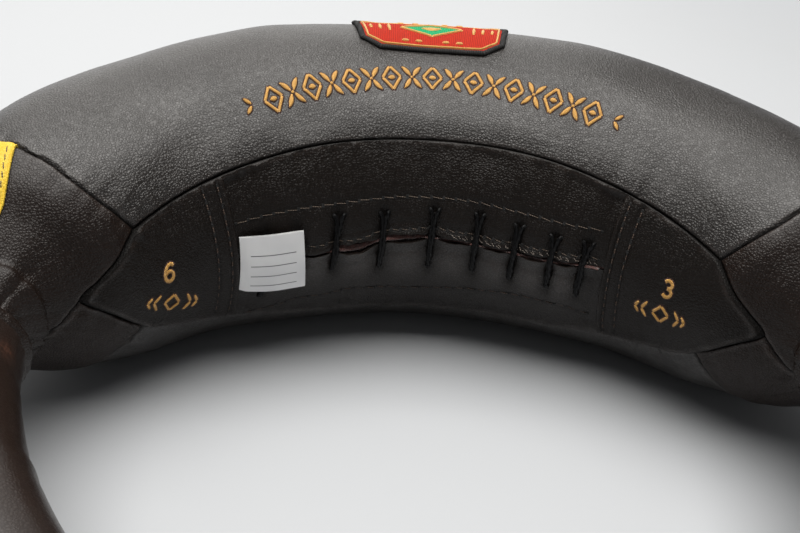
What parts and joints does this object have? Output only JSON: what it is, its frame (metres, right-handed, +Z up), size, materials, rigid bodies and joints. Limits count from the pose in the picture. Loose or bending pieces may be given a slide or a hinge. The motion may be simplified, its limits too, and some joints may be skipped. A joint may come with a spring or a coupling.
{
  "type": "bulgarian bag",
  "caption": "Stuffed leather crescent weight with a laced filling closure on its inner side, tapering horns with gathered necks and a soft round grip at each end.",
  "frame": {"origin": "on the floor under the middle of the outline, with the bag lying on its flattened underside", "axes": "+X to the side of the right handle, +Y toward the back of the crescent, +Z up through the crown"},
  "size_m": [0.4122, 0.3484, 0.1363],
  "materials": {
    "dark_leather": "very dark brown, fine pebbled grain, soft sheen",
    "yellow_leather": "warm yellow, matte",
    "suede": "reddish brown flesh side",
    "waxed_cord": "black waxed cord",
    "satin": "white satin ribbon",
    "patch_cloth": "red embroidered cloth",
    "border_thread": "black overlocked thread",
    "wool": "raw wool",
    "sand_cloth": "plain cotton",
    "tie_cord": "twisted cord"
  },
  "bodies": {
    "bag": {"top_panel": "dark_leather", "bottom_panel": "dark_leather", "left_end_panel": "dark_leather", "right_end_panel": "dark_leather", "closure_upper_flap": "dark_leather", "closure_lower_flap": "dark_leather", "closure_facing": "suede", "closure_lace": "waxed_cord", "left_horn": "dark_leather", "right_horn": "dark_leather", "left_accent_strip": "yellow_leather", "right_accent_strip": "yellow_leather", "left_neck_collar": "dark_leather", "right_neck_collar": "dark_leather", "left_neck_tie": "tie_cord", "right_neck_tie": "tie_cord", "patch_ground": "patch_cloth", "patch_border": "border_thread", "wool_filling": "wool", "left_horn_filling": "wool", "right_horn_filling": "wool", "left_sand_pouch": "sand_cloth", "middle_sand_pouch": "sand_cloth", "right_sand_pouch": "sand_cloth"},
    "left_handle": {"left_handle_sleeve": "dark_leather", "left_handle_cap": "dark_leather", "left_handle_core": "wool"},
    "right_handle": {"right_handle_sleeve": "dark_leather", "right_handle_cap": "dark_leather", "right_handle_core": "wool"},
    "label": {"care_label": "satin"}
  },
  "joints": [
    {"name": "left_handle_flex", "type": "hinge", "parent": "bag", "child": "left_handle", "pos_m": [-0.16273, -0.03887, 0.06469], "axis": [0, 0, 1], "range_deg": [-10, 10], "stiffness_Nm_per_rad": 1.5, "deforming": ["left_neck_collar"]},
    {"name": "right_handle_flex", "type": "hinge", "parent": "bag", "child": "right_handle", "pos_m": [0.16273, -0.03887, 0.06469], "axis": [0, 0, -1], "range_deg": [-10, 10], "stiffness_Nm_per_rad": 1.5, "deforming": ["right_neck_collar"]},
    {"name": "label_lift", "type": "hinge", "parent": "bag", "child": "label", "pos_m": [-0.07465, 0.02484, 0.06082], "axis": [-0.0304, 0.0441, -0.9986], "range_deg": [0, 100], "stiffness_Nm_per_rad": 0.002}
  ]
}
